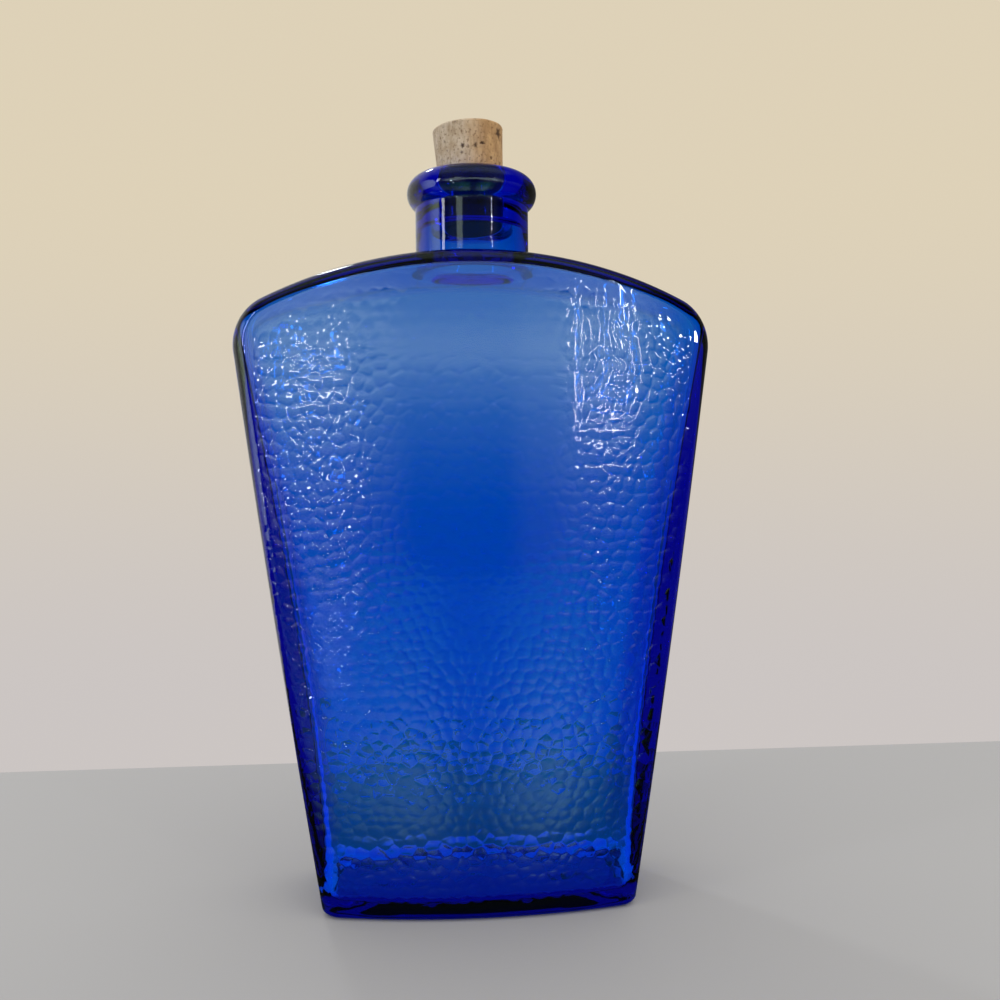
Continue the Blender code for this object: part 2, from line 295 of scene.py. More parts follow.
# Blue light that the base throws on the table under it, as gloss and the front rim show it
UNDER_GLOW = 0.10
UNDER_COLOUR = (0.02, 0.08, 1.0)
UNDER_ACROSS = ((0.048, 1.0), (0.060, 0.0))
UNDER_DEEP = ((0.032, 1.0), (0.044, 0.0))
UNDER_FRONT_RIM = ((-0.022, 1.0), (-0.014, 0.0))

# Small lamps that sparkle on the pebbles, as (azimuth, elevation, distance, width, height), in
# degrees and metres
LAMPS = (
    (-24.0, 1.0, 1.4, 0.020, 0.020),
    (-29.0, -3.5, 1.4, 0.022, 0.022),
    (-36.0, 3.0, 1.4, 0.022, 0.022),
    (-34.0, -1.0, 1.4, 0.020, 0.020),
    (-42.0, -3.0, 1.4, 0.022, 0.022),
    (-38.0, 8.5, 1.4, 0.020, 0.020),
    (-29.0, 9.0, 1.4, 0.020, 0.020),
    (-47.0, 6.5, 1.4, 0.024, 0.018),
    (-53.0, 8.0, 1.4, 0.024, 0.018),
    (-51.0, 2.0, 1.4, 0.022, 0.022),
    (-34.0, 6.3, 1.4, 0.320, 0.006),
    (-28.0, -9.3, 0.70, 0.008, 0.008),
    (-38.0, -12.0, 0.54, 0.006, 0.006),
    (-35.0, -15.2, 0.42, 0.005, 0.005),
    (-34.0, -21.2, 0.30, 0.0035, 0.0035),
    (-72.0, -4.0, 1.4, 0.050, 0.050),
    (47.0, 9.5, 1.4, 0.026, 0.018),
    (51.0, 7.5, 1.4, 0.026, 0.018),
    (56.0, 9.0, 1.4, 0.026, 0.018),
    (34.0, -9.3, 0.70, 0.007, 0.007),
    (37.0, 15.5, 1.4, 0.010, 0.300),
    (-152.0, 49.0, 1.4, 0.100, 0.100),
)
LAMP_RADIANCE = 50.0
LAMP_COLOUR = (0.95, 0.98, 1.0)

# Windows, placed as the lamps are, with the power of the left one and the panes of the right one
LEFT_WINDOW = (-62.0, 16.0, 1.2, 0.12, 0.32)
LEFT_WINDOW_POWER = 0.9
LEFT_WINDOW_COLOUR = (0.93, 0.97, 1.0)
RIGHT_WINDOW = (33.0, 7.5, 1.4, 0.33, 0.24)
RIGHT_WINDOW_UPRIGHTS = 3
RIGHT_WINDOW_BAR = 0.005
RIGHT_WINDOW_COLOUR = (1.0, 0.97, 0.92)
LIGHTS_AIM = 0.12

# Camera, as a place, a way it looks and the length of its lens for its frame, in millimetres
CAMERA_AZIMUTH = math.radians(-3.18)
CAMERA_DISTANCE = 0.3300
CAMERA_HEIGHT = 0.1371
CAMERA_PAN = math.radians(-1.47)
CAMERA_TILT_UP = math.radians(-1.53)
CAMERA_ROLL = math.radians(-0.48)
LENS = 36.0
FRAME_WIDTH = 36.0


def blend(start, end, share):
    """The value that lies the given share of the way from start to end."""
    return start + (end - start) * share


def arc(centre, radius, start, end, steps):
    """Points on an arc from one angle to another, both ends included."""
    angles = np.linspace(start, end, steps + 1)
    return [(centre[0] + radius * math.cos(a), centre[1] + radius * math.sin(a)) for a in angles]


def round_over(reach, radius):
    """How far a rounded edge has dropped at a distance in from its outline."""
    inside = radius - np.clip(reach, 0.0, radius)
    return radius - np.sqrt(radius * radius - inside * inside)


def side_half_width(height):
    """Half the width of the leaning sides at a height, without their slight bulge."""
    return BASE_WIDTH / 2 + height * math.tan(SIDE_LEAN)


def face_half_depth(height):
    """Half the depth of the body at a height, in the middle of its faces."""
    return blend(BASE_DEPTH, SHOULDER_DEPTH, height / ARCH_TOP) / 2


def arch_height(across, inside=0.0):
    """The height of the body's arch at a distance across, or of the arch a little inside it."""
    return ARCH_TOP - ARCH_RADIUS + np.sqrt((ARCH_RADIUS - inside) ** 2 - across**2)


def corner_centre():
    """The centre of the shoulder corner, which touches the leaning side and the arch inside."""
    out_x, out_z = math.cos(SIDE_LEAN), -math.sin(SIDE_LEAN)
    along_x, along_z = math.sin(SIDE_LEAN), math.cos(SIDE_LEAN)
    start_x = BASE_WIDTH / 2 - out_x * CORNER_RADIUS
    start_z = -out_z * CORNER_RADIUS
    middle_z = ARCH_TOP - ARCH_RADIUS
    reach = ARCH_RADIUS - CORNER_RADIUS
    half = start_x * along_x + (start_z - middle_z) * along_z
    rest = start_x**2 + (start_z - middle_z) ** 2 - reach**2
    distance = -half + math.sqrt(half**2 - rest)
    return start_x + along_x * distance, start_z + along_z * distance


def arch_start():
    """The angle at which the shoulder corner passes into the arch."""
    corner_x, corner_z = corner_centre()
    return math.atan2(corner_z - (ARCH_TOP - ARCH_RADIUS), corner_x)


def front_outline():
    """(half width, height) pairs up one side of the body, from the resting rim to the neck."""
    edge_middle = (side_half_width(BASE_EDGE_ROUND) - BASE_EDGE_ROUND, BASE_EDGE_ROUND)
    points = arc(edge_middle, BASE_EDGE_ROUND, math.radians(-90), -SIDE_LEAN, EDGE_STEPS)
    corner = arc(corner_centre(), CORNER_RADIUS, -SIDE_LEAN, arch_start(), CORNER_STEPS)
    low, high = points[-1], corner[0]
    for step in range(1, SIDE_STEPS):
        share = step / SIDE_STEPS
        bulge = 4.0 * SIDE_BULGE * share * (1.0 - share)
        points.append((blend(low[0], high[0], share) + bulge, blend(low[1], high[1], share)))
    points += corner
    arch_end = math.acos((NECK_RADIUS + NECK_FILLET) / ARCH_RADIUS)
    middle_z = ARCH_TOP - ARCH_RADIUS
    points += arc((0.0, middle_z), ARCH_RADIUS, arch_start(), arch_end, ARCH_STEPS)[1:]
    return points


def inside_outline(across, height, half_width):
    """How far places across a ring of the body lie inside its front outline."""
    corner_x, corner_z = corner_centre()
    side = (half_width - across) * math.cos(SIDE_LEAN)
    arch = ARCH_RADIUS - np.hypot(across, height - (ARCH_TOP - ARCH_RADIUS))
    corner = CORNER_RADIUS - np.hypot(across - corner_x, height - corner_z)
    angle = np.arctan2(height - corner_z, across - corner_x)
    at_corner = (angle > -SIDE_LEAN) & (angle < arch_start())
    return np.where(at_corner, corner, np.minimum(side, arch))


def inside_hollow(across, height, half_width):
    """How far places across a ring of the hollow lie inside its front outline."""
    side = (half_width - across) * math.cos(SIDE_LEAN)
    radius, middle_z = ceiling_arch()
    arch = radius - np.hypot(across, height - middle_z)
    return np.minimum(side, arch * CEILING_SHARPER)


def spread(points, steps):
    """The same line with evenly spaced points, both ends included."""
    length = np.linalg.norm(np.diff(points, axis=0), axis=1)
    along = np.concatenate([[0.0], np.cumsum(length)])
    places = np.linspace(0.0, along[-1], steps + 1)
    return np.stack([np.interp(places, along, points[:, axis]) for axis in (0, 1)], axis=1)


def plan_quarter(half_width, depth, height, reach_at, edge_round):
    """A level quarter ring, from the front to a side: crowned face, round edge, flat strip."""
    across = half_width * np.sin(np.linspace(0.0, math.pi / 2, PLAN_SAMPLES))
    reach = np.clip(reach_at(across, height, half_width), 0.0, edge_round)
    crown = FACE_RADIUS - np.sqrt(FACE_RADIUS**2 - across**2)
    face = np.stack([across, crown + round_over(reach, edge_round) - depth], axis=1)
    bend = min((1.0 - math.sqrt(0.5)) * edge_round, BEND_SHARE * reach[0])
    corner = int(np.argmax(reach < bend))
    strip = np.concatenate([face[corner:], [[half_width, 0.0]]])
    plan = np.concatenate([spread(face[: corner + 1], FACE_STEPS)[:-1], spread(strip, STRIP_STEPS)])
    return np.column_stack([plan, np.full(len(plan), height)])


def circle_quarter(radius, height):
    """A quarter of a round ring, with its points placed as on a plan outline."""
    front = np.linspace(-math.pi / 2, -STRIP_ANGLE, FACE_STEPS, endpoint=False)
    angles = np.concatenate([front, np.linspace(-STRIP_ANGLE, 0.0, STRIP_STEPS + 1)])
    level = np.broadcast_to(height, angles.shape)
    return np.column_stack([radius * np.cos(angles), radius * np.sin(angles), level])


def top_quarters(level, reach, edge_round, height_at, radius, fillet, end_height):
    """Quarter rings from a level one over an arched top to a circle, then up a fillet."""
    quarters = []
    for step in range(1, LEDGE_STEPS + 1):
        kept = reach * (1.0 - step / LEDGE_STEPS) ** 2
        drop = round_over(kept, edge_round) - round_over(reach, edge_round)
        rise = height_at(level[:, 0], kept)
        quarters.append(np.column_stack([level[:, 0], level[:, 1] + drop, rise]))
    loop, circle = quarters[-1], circle_quarter(radius, 0.0)
    for step in range(1, LEDGE_STEPS + 1):
        plan = blend(loop[:, :2], circle[:, :2], step / LEDGE_STEPS)
        quarters.append(np.column_stack([plan, height_at(plan[:, 0], 0.0)]))
    foot = quarters[-1][:, 2]
    for step in range(1, EDGE_STEPS + 1):
        angle = math.radians(-90.0 - 90.0 * step / EDGE_STEPS)
        rise = blend(foot, end_height, 1.0 + math.sin(angle))
        quarters.append(circle_quarter(radius + fillet * math.cos(angle), rise))
    return quarters


def base_drop(height):
    """How far the rounded edge under the body has drawn in at a height."""
    return float(round_over(height, BASE_EDGE_ROUND))


def underside_quarters():
    """The shallow push-up and the resting rim, drawn from the middle outwards."""
    foot_x, foot_z = front_outline()[0]
    depth = face_half_depth(foot_z) - base_drop(foot_z)
    quarters = []
    for inset, height in ((RESTING_RIM + PUSH_UP_RUN, PUSH_UP), (RESTING_RIM, foot_z)):
        quarters.append(plan_quarter(foot_x - inset, depth - inset, height, beside, EDGE_ROUND))
    return quarters


def beside(across, height, half_width):
    """How far places across a ring lie inside its sides alone."""
    return half_width - across


def outer_quarters():
    """Quarter rings up the outside, from the resting rim to the foot of the neck."""
    quarters = underside_quarters()
    for half_width, height in front_outline():
        depth = face_half_depth(height) - base_drop(height)
        quarters.append(plan_quarter(half_width, depth, height, inside_outline, EDGE_ROUND))
    level = quarters[-1]
    reach = np.clip(inside_outline(level[:, 0], height, half_width), 0.0, EDGE_ROUND)
    radius = NECK_RADIUS + NECK_FILLET
    end_height = ARCH_TOP + NECK_FILLET
    top = top_quarters(level, reach, EDGE_ROUND, arch_height, radius, NECK_FILLET, end_height)
    return quarters + top


def mouth_height():
    """The height at which the lip's inner round ends and the straight bore begins."""
    mouth_round = LIP_RADIUS - LIP_ROUND - BORE_RADIUS
    return LIP_MIDDLE + LIP_ROUND - mouth_round


def lip_profile():
    """(radius, height) pairs round the lip, from the neck to the start of the bore."""
    lip_middle = (LIP_RADIUS - LIP_ROUND, LIP_MIDDLE)
    lip_start = -math.acos((NECK_RADIUS - lip_middle[0]) / LIP_ROUND)
    points = arc(lip_middle, LIP_ROUND, lip_start, math.radians(90), LIP_STEPS)
    mouth_middle = (lip_middle[0], mouth_height())
    mouth_round = lip_middle[0] - BORE_RADIUS
    points += arc(mouth_middle, mouth_round, math.radians(90), math.radians(180), MOUTH_STEPS)[1:]
    return points


def side_wall(height):
    """Thickness of the narrow side walls, thickest below half the height of the hollow."""
    share = (height - FLOOR) / (ARCH_TOP - FLOOR)
    skewed = share**SIDE_WALL_SKEW
    ends = blend(SIDE_WALL_BASE, SIDE_WALL_SHOULDER, share)
    return blend(ends, SIDE_WALL_MIDDLE, 4.0 * skewed * (1.0 - skewed))


def ceiling_arch():
    """The radius of the hollow's arch and the height of its centre."""
    radius = ARCH_RADIUS + CEILING_FLATTER
    return radius, ARCH_TOP - CEILING - radius


def ceiling_height(across, inside=0.0):
    """The height of the hollow's arch at a distance across, or of one a little inside it."""
    radius, middle_z = ceiling_arch()
    return middle_z + np.sqrt((radius - inside / CEILING_SHARPER) ** 2 - across**2)


def hollow_half_width(height):
    """Half the width of the hollow: the lower of its side and its arch, with a round between."""
    side = side_half_width(height) - side_wall(height)
    radius, middle_z = ceiling_arch()
    arch = math.sqrt(radius**2 - (height - middle_z) ** 2)
    return (side**-CAVITY_ROUNDING + arch**-CAVITY_ROUNDING) ** (-1.0 / CAVITY_ROUNDING)


def face_wall(height):
    """Thickness of the broad front and back walls, thinner towards the shoulders."""
    return blend(FACE_WALL, FACE_WALL_TOP, ease((height - THINNING_LOW) / THINNING_RUN))


def neck_root():
    """The radius at which the hollow's ceiling turns up into the neck."""
    return NECK_RADIUS - NECK_WALL + ROOT_FILLET


def neck_hollow_quarters():
    """Quarter rings up the wide part of the neck and its narrowing to the bore."""
    quarters = []
    high = mouth_height() - BORE_LENGTH
    for step in range(NARROWING_STEPS + 1):
        share = step / NARROWING_STEPS
        radius = blend(NECK_RADIUS - NECK_WALL, BORE_RADIUS, float(ease(share)))
        quarters.append(circle_quarter(radius, high - NARROWING_RISE * (1.0 - share)))
    return quarters


def hollow_heights():
    """Heights of the hollow's rings, from the floor up, closer together under the arch."""
    floor_arc = arc((0.0, FLOOR + FLOOR_CORNER), FLOOR_CORNER, math.radians(-90), 0.0, EDGE_STEPS)
    heights = [point[1] for point in floor_arc]
    top = float(ceiling_height(neck_root()))
    for step in range(1, CAVITY_STEPS + 1):
        share = math.sin(math.pi / 2 * step / CAVITY_STEPS)
        heights.append(blend(FLOOR + FLOOR_CORNER, top, share))
    return heights


def hollow_quarters():
    """Quarter rings up the hollow, from the domed floor to the start of the bore."""
    quarters = []
    for height in hollow_heights():
        drop = float(round_over(height - FLOOR, FLOOR_CORNER))
        half_width = hollow_half_width(height) - drop
        depth = face_half_depth(height) - face_wall(height) - drop
        if not quarters:
            inset = RESTING_RIM + PUSH_UP_RUN - FLOOR_CORNER
            inner = (half_width - inset, depth - inset, height + PUSH_UP)
            quarters.append(plan_quarter(*inner, beside, CAVITY_EDGE_ROUND))
        quarters.append(plan_quarter(half_width, depth, height, inside_hollow, CAVITY_EDGE_ROUND))
    level = quarters[-1]
    reach = np.clip(inside_hollow(level[:, 0], height, half_width), 0.0, CAVITY_EDGE_ROUND)
    root = (neck_root(), ROOT_FILLET, ARCH_TOP - CEILING + ROOT_FILLET)
    top = top_quarters(level, reach, CAVITY_EDGE_ROUND, ceiling_height, *root)
    return quarters + top + neck_hollow_quarters()


def whole_ring(quarter):
    """A closed ring from its quarter between the front and the +X side."""
    open_part, end, back = quarter[:-1], quarter[-1:], quarter[-2:0:-1]
    half = [open_part, end, back * (1.0, -1.0, 1.0)]
    return np.concatenate(half + [part * (-1.0, -1.0, 1.0) for part in half])


def pebbles(x, z, seed, field):
    """Height of a field of close-set pebbles: leaning tops with round edges, on soft swells."""
    cell_width, cell_height, edge_rise, edge_run, swell_low, swell_high = field
    random = np.random.default_rng(seed)
    columns = int(FIELD_WIDTH / cell_width) + SPARE_CELLS
    rows = int(FIELD_HEIGHT / cell_height) + SPARE_CELLS
    shift = random.uniform(-PEBBLE_JITTER, PEBBLE_JITTER, (rows, columns, 2))
    size = random.uniform(*PEBBLE_SIZES, (rows, columns))
    lean = random.uniform(-PEBBLE_LEAN, PEBBLE_LEAN, (rows, columns, 2))
    u = x / cell_width + columns / 2
    v = np.log1p(PEBBLE_GROWTH * z) / (PEBBLE_GROWTH * cell_height) + ROWS_BELOW
    row = np.floor(v).astype(int)
    nearest = np.full_like(x, FAR_OFF)
    second = np.full_like(x, FAR_OFF)
    height = np.ones_like(x)
    swell = np.zeros_like(x)
    for down in (-1, 0, 1, 2):
        line = np.clip(row + down, 0, rows - 1)
        column = np.floor(u - 0.5 * (line % 2)).astype(int)
        for along in (-1, 0, 1, 2):
            place = np.clip(column + along, 0, columns - 1)
            du = u - (place + 0.5 * (line % 2) + shift[line, place, 0])
            dv = v - (line + shift[line, place, 1])
            distance = np.hypot(du, dv * PEBBLE_SQUASH)
            closer = distance < nearest
            second = np.where(closer, nearest, np.minimum(second, distance))
            top = size[line, place] + lean[line, place, 0] * du + lean[line, place, 1] * dv
            height = np.where(closer, top, height)
            nearest = np.where(closer, distance, nearest)
            swell += size[line, place] * np.exp(-((distance / PEBBLE_SWELL) ** 2))
    inside = 0.5 * (second - nearest) * cell_width
    edge = np.clip(inside / edge_run, 0.0, 1.0)
    rise = blend(swell_low, swell_high, ease_from(z, SWELL_CHANGE))
    steeper = blend(PEBBLE_STEEPER_LOW, 1.0, ease_from(z, STEEPER_CHANGE))
    return edge_rise * steeper * (height * (1.0 - (1.0 - edge) ** 2) - 0.5) + rise * (swell - 0.5)


def calm_middle(x, z):
    """How strong the front pebbles are, which fade towards the middle of the face."""
    reach = np.hypot(x / CALM_HALF_WIDTH, (z - CALM_HEIGHT) / CALM_HALF_HEIGHT)
    return blend(CALM_SHARE, 1.0, ease_from(reach, CALM_EDGE))


def ease(share):
    """A share from 0 to 1 that starts and stops gently."""
    share = np.clip(share, 0.0, 1.0)
    return share * share * (3.0 - 2.0 * share)


def ease_from(value, change):
    """How far a value has come through a change, which is given as its start and run."""
    start, run = change
    return ease((value - start) / run)


def pebble_faces(ring):
    """A ring of the body with pebbles raised on its front and its back face."""
    x, y, z = ring[:, 0], ring[:, 1], ring[:, 2]
    height = float(z[0])
    half_width = float(np.abs(x).max())
    reach = inside_outline(np.abs(x), z, half_width)
    from_side = (half_width - np.abs(x)) * math.cos(SIDE_LEAN)
    under_arch = reach < from_side - ARCH_MARGIN
    start = np.where(under_arch, TOP_FADE[0], SIDE_FADE[0]) * EDGE_ROUND
    run = np.where(under_arch, TOP_FADE[1], SIDE_FADE[1]) * EDGE_ROUND
    strength = ease((reach - start) / run) * ease_from(height, FOOT_FADE)
    strength = strength * (np.abs(y) > FACE_SHARE * np.abs(y).max())
    front = pebbles(x, z, FRONT_SEED, FRONT_PEBBLES) * calm_middle(x, z)
    back = pebbles(x, z, BACK_SEED, BACK_PEBBLES) * ease_from(height, BACK_FOOT_FADE)
    rise = np.where(y < 0, front, back)
    lean_x = x / FACE_RADIUS
    lean_y = np.sign(y) * np.sqrt(1.0 - lean_x**2)
    lift = rise * strength
    return np.column_stack([x + lean_x * lift, y + lean_y * lift, z])


def loft(rings):
    """Vertices and faces of a closed skin through rings, with a fan over each end."""
    count = len(rings[0])
    vertices = np.concatenate(rings)
    step = np.arange(count)
    after = (step + 1) % count
    quads = []
    for level in range(len(rings) - 1):
        low, high = level * count, (level + 1) * count
        quads.append(np.stack([low + step, low + after, high + after, high + step], axis=1))
    faces = np.concatenate(quads).tolist()
    last = (len(rings) - 1) * count
    bottom, top = len(vertices), len(vertices) + 1
    ends = [[0.0, 0.0, rings[0][0, 2]], [0.0, 0.0, rings[-1][0, 2]]]
    vertices = np.concatenate([vertices, ends])
    faces += [[bottom, int(b), int(a)] for a, b in zip(step, after)]
    faces += [[top, int(last + a), int(last + b)] for a, b in zip(step, after)]
    return vertices, faces


def make_piece(name, vertices, faces, material):
    """A smooth-shaded mesh object."""
    mesh = bpy.data.meshes.new(name)
    mesh.from_pydata([tuple(v) for v in vertices], [], faces)
    mesh.materials.append(material)
    mesh.shade_smooth()
    piece = bpy.data.objects.new(name, mesh)
    bpy.context.scene.collection.objects.link(piece)
    return piece


def new_material(name):
    """A material with a Principled shader, and its node tree."""
    material = bpy.data.materials.new(name)
    material.use_nodes = True
    tree = material.node_tree
    return material, tree, tree.nodes["Principled BSDF"]


def glass_material():
    """Clear cobalt-blue glass: the colour comes from how far light goes through it."""
    material, tree, shader = new_material("cobalt_blue_glass")
    shader.inputs["Base Color"].default_value = (1.0, 1.0, 1.0, 1.0)
    shader.inputs["Roughness"].default_value = 0.0
    shader.inputs["IOR"].default_value = GLASS_INDEX
    shader.inputs["Transmission Weight"].default_value = 1.0
    absorb = tree.nodes.new("ShaderNodeVolumeAbsorption")
    absorb.inputs["Color"].default_value = (*GLASS_COLOUR, 1.0)
    absorb.inputs["Density"].default_value = GLASS_DENSITY
    output = tree.nodes["Material Output"]
    tree.links.new(absorb.outputs["Volume"], output.inputs["Volume"])
    return material


def noise_ramp(tree, vector, scale, detail, stops):
    """Noise at a scale, turned into colours by (position, colour) stops."""
    noise = tree.nodes.new("ShaderNodeTexNoise")
    noise.inputs["Scale"].default_value = scale
    noise.inputs["Detail"].default_value = detail
    tree.links.new(vector, noise.inputs["Vector"])
    ramp = tree.nodes.new("ShaderNodeValToRGB")
    for element, (position, colour) in zip(ramp.color_ramp.elements, stops):
        element.position = position
        element.color = (*colour, 1.0)
    tree.links.new(noise.outputs["Fac"], ramp.inputs["Fac"])
    return ramp.outputs["Color"]


def mixed(tree, kind, factor, first, second):
    """Two colours mixed by a factor, which is a number or a node's output."""
    mix = tree.nodes.new("ShaderNodeMix")
    mix.data_type = "RGBA"
    mix.blend_type = kind
    if isinstance(factor, float):
        mix.inputs["Factor"].default_value = factor
    else:
        tree.links.new(factor, mix.inputs["Factor"])
    for socket, colour in ((mix.inputs[6], first), (mix.inputs[7], second)):
        if isinstance(colour, tuple):
            socket.default_value = (*colour, 1.0)
        else:
            tree.links.new(colour, socket)
    return mix.outputs[2]


def cork_material():
    """Natural cork, pale on one side and tan on the other, with grain, pits darkened by painted shade,
    and painted shade on its foot inside the neck.
    """
    material, tree, shader = new_material("natural_cork_bark")
    place = tree.nodes.new("ShaderNodeTexCoord").outputs["Object"]
    along = tree.nodes.new("ShaderNodeMapping")
    along.inputs["Scale"].default_value = (1.0, 1.0, GRAIN_STRETCH)
    tree.links.new(place, along.inputs["Vector"])
    parts = tree.nodes.new("ShaderNodeSeparateXYZ")
    tree.links.new(place, parts.inputs[0])
    side = tree.nodes.new("ShaderNodeMapRange")
    side.interpolation_type = "SMOOTHSTEP"
    side.inputs["From Min"].default_value = -TAN_SIDE
    side.inputs["From Max"].default_value = TAN_SIDE
    tree.links.new(parts.outputs["X"], side.inputs["Value"])
    pale = noise_ramp(tree, place, *CORK_PALE)
    tan = noise_ramp(tree, place, *CORK_TAN)
    colour = mixed(tree, "MIX", side.outputs["Result"], pale, tan)
    grain = noise_ramp(tree, along.outputs["Vector"], *CORK_GRAIN)
    colour = mixed(tree, "MULTIPLY", GRAIN_SHARE, colour, grain)
    specks = noise_ramp(tree, place, *CORK_SPECKS)
    colour = mixed(tree, "MULTIPLY", SPECKS_SHARE, colour, specks)
    # Painted shade: the cork darkens with the depth of its pits
    depth = tree.nodes.new("ShaderNodeAttribute")
    depth.attribute_name = "pit_depth"
    colour = mixed(tree, "MIX", depth.outputs["Fac"], colour, PIT_SHADE_COLOUR)
    # Painted shade: the cork inside the lip and neck is painted dark below a height just above the bore
    neck_shade = tree.nodes.new("ShaderNodeMapRange")
    neck_shade.interpolation_type = "SMOOTHSTEP"
    neck_shade.inputs["From Min"].default_value = mouth_height() + NECK_SHADE_BEGINS
    neck_shade.inputs["From Max"].default_value = mouth_height() + NECK_SHADE_FULL
    tree.links.new(parts.outputs["Z"], neck_shade.inputs["Value"])
    colour = mixed(tree, "MIX", neck_shade.outputs["Result"], colour, NECK_SHADE_COLOUR)
    tree.links.new(colour, shader.inputs["Base Color"])
    shader.inputs["Roughness"].default_value = CORK_ROUGHNESS
    scale, detail, strength, distance = CORK_BUMP
    bump = tree.nodes.new("ShaderNodeBump")
    bump.inputs["Strength"].default_value = strength
    bump.inputs["Distance"].default_value = distance
    fine = tree.nodes.new("ShaderNodeTexNoise")
    fine.inputs["Scale"].default_value = scale
    fine.inputs["Detail"].default_value = detail
    tree.links.new(place, fine.inputs["Vector"])
    tree.links.new(fine.outputs["Fac"], bump.inputs["Height"])
    tree.links.new(bump.outputs["Normal"], shader.inputs["Normal"])
    return material


def bottle_rings():
    """All rings of the glass, with pebbles on those of the body's faces."""
    foot = len(underside_quarters())
    body = foot + len(front_outline())
    outside = [whole_ring(quarter) for quarter in outer_quarters()]
    rings = outside[: foot + 1]
    rings += [pebble_faces(ring) for ring in outside[foot + 1 : body]]
    rings += outside[body:]
    quarters = [circle_quarter(NECK_RADIUS, height) for height in neck_heights()]
    quarters += [circle_quarter(radius, height) for radius, height in lip_profile()]
    quarters += [circle_quarter(BORE_RADIUS, height) for height in bore_heights()]
    quarters += reversed(hollow_quarters())
    return rings + [whole_ring(quarter) for quarter in quarters]


def neck_heights():
    """Heights of level rings up the straight neck, so that its shading stays true."""
    low = ARCH_TOP + NECK_FILLET
    high = lip_profile()[0][1]
    return [blend(low, high, share) for share in LEVEL_SHARES]


def bore_heights():
    """Heights of level rings down the straight bore."""
    low = mouth_height() - BORE_LENGTH
    return [blend(mouth_height(), low, share) for share in LEVEL_SHARES]


def make_bottle():
    """The blown glass as one closed skin, with pebbled front and back faces."""
    vertices, faces = loft(bottle_rings())
    piece = make_piece("bottle_glass", vertices, faces, glass_material())
    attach(piece, "bottle")
    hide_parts("glass_bottle")


def cork_profile():
    """(radius, height) pairs up the cork, with flat ends and rounded edges."""
    fit_radius = BORE_RADIUS - CORK_CLEARANCE
    slope = math.tan(CORK_TAPER)
    above = (CORK_TOP - mouth_height()) / math.cos(CORK_LEAN)
    below = CORK_LENGTH - above
    edge = CORK_CHAMFER
    foot, top = fit_radius - below * slope, fit_radius + above * slope
    points = [(foot * share, -below) for share in END_SHARES]
    points += arc((foot - edge, -below + edge), edge, math.radians(-90), 0.0, EDGE_STEPS)
    for share in np.linspace(0.0, 1.0, CORK_ROWS)[1:-1]:
        height = blend(-below + edge, above - edge, share)
        points.append((fit_radius + height * slope, height))
    points += arc((top - edge, above - edge), edge, 0.0, math.radians(90), EDGE_STEPS)
    points += [(top * share, above) for share in reversed(END_SHARES)]
    return points, -below, above


def cork_pits(turns, heights, low, high):
    """How deep in a pit each place on the cork lies, from 0 to 1."""
    random = np.random.default_rng(PIT_SEED)
    pits = [(math.radians(a), h / 1000, w / 1000, t / 1000, d) for a, h, w, t, d in CORK_PITS]
    for _ in range(SMALL_PITS):
        width = SMALL_PIT_WIDTH + SMALL_PIT_WIDER * random.random() ** 2
        tall = width * random.uniform(*SMALL_PIT_STRETCH)
        place = (random.uniform(-math.pi, math.pi), random.uniform(low, high))
        pits.append((*place, width, tall, random.uniform(*SMALL_PIT_DEPTH)))
    depth = np.zeros_like(turns)
    for azimuth, height, width, tall, deep in pits:
        across = ((turns - azimuth + math.pi) % (2 * math.pi) - math.pi) * BORE_RADIUS
        round_pit = np.arctan2(heights - height, across)
        ragged = 1.0 + PIT_RAGGED * np.sin(PIT_LOBES * round_pit + azimuth * PIT_LOBE_TURN)
        distance = np.hypot(across / width, (heights - height) / tall) / ragged
        depth = np.maximum(depth, deep * ease((PIT_WALL_REACH - distance) / PIT_WALL_RUN))
    return depth


def make_cork():
    """The tapered cork, with its pits pressed into it."""
    profile, low, high = cork_profile()
    azimuths = np.linspace(-math.pi, math.pi, CORK_AROUND, endpoint=False)
    radii = np.array([point[0] for point in profile])[:, None]
    heights = np.array([point[1] for point in profile])[:, None]
    turns = np.broadcast_to(azimuths, (len(profile), CORK_AROUND))
    levels = np.broadcast_to(heights, turns.shape)
    pits = cork_pits(turns, levels, low, high)
    wave = sum(np.sin(count * turns + start + climb * levels) for count, start, climb in ROUGH_WAVES)
    off_ends = ease_from(radii / BORE_RADIUS, OFF_ENDS)
    around = radii - off_ends * (PIT_DEPTH * pits + ROUGH_DEPTH * (len(ROUGH_WAVES) + wave))
    x, y = around * np.sin(turns), -around * np.cos(turns)
    rings = [np.column_stack([x[k], y[k], levels[k]]) for k in range(len(profile))]
    vertices, faces = loft(rings)
    turn = Matrix.Translation((0.0, 0.0, mouth_height())) @ Matrix.Rotation(-CORK_LEAN, 4, "Y")
    vertices = [turn @ Vector(v) for v in vertices]
    piece = make_piece("cork_bark", vertices, faces, cork_material())
    shades = piece.data.attributes.new("pit_depth", "FLOAT", "POINT")
    shades.data.foreach_set("value", np.concatenate([(pits * off_ends).ravel(), [0.0, 0.0]]))
    piece.data.set_sharp_from_angle(angle=CORK_SHARP)
    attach(piece, "cork")
    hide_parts("cork_stopper")


